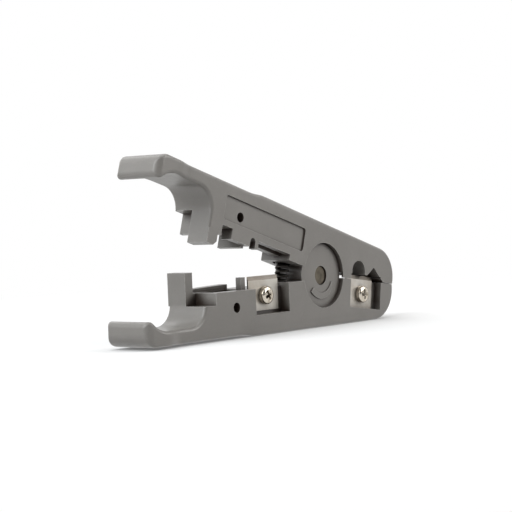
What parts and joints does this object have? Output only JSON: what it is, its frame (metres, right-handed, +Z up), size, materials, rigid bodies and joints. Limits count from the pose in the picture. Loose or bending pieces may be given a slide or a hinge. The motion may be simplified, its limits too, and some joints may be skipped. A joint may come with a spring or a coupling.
{
  "type": "network cable stripper",
  "caption": "Hand-held squeeze tool with finger rings, a blade for cutting round network cable and notches with a second blade for stripping its jacket.",
  "frame": {"origin": "under the middle of the tool's bounding box, on the surface that the lower arm stands on", "axes": "+X along the lower arm towards the stripping end, +Y from the front face to the back face, +Z up"},
  "size_m": [0.1238, 0.017, 0.0555],
  "materials": {
    "grey_plastic": "satin moulded plastic with a faint texture",
    "pin_metal": "dark oxidised steel",
    "spring_steel": "black spring wire",
    "blade_steel": "satin ground steel",
    "screw_metal": "bright nickel plate",
    "brass": "plain brass"
  },
  "bodies": {
    "lower_body": {"lower_arm": "grey_plastic", "pivot_pin": "pin_metal", "return_spring": "spring_steel", "cutter_blade": "blade_steel", "cutter_screw": "screw_metal", "cutter_insert": "brass", "stripping_blade": "blade_steel", "stripping_screw": "screw_metal", "stripping_insert": "brass"},
    "upper_body": {"upper_arm": "grey_plastic"}
  },
  "joints": [
    {"name": "jaw_hinge", "type": "hinge", "parent": "lower_body", "child": "upper_body", "pos_m": [0.02249, 0, 0.0165], "axis": [0, -1, 0], "range_deg": [0, 17], "stiffness_Nm_per_rad": 0.15, "springref_deg": -28.65, "deforming": ["return_spring"]}
  ]
}
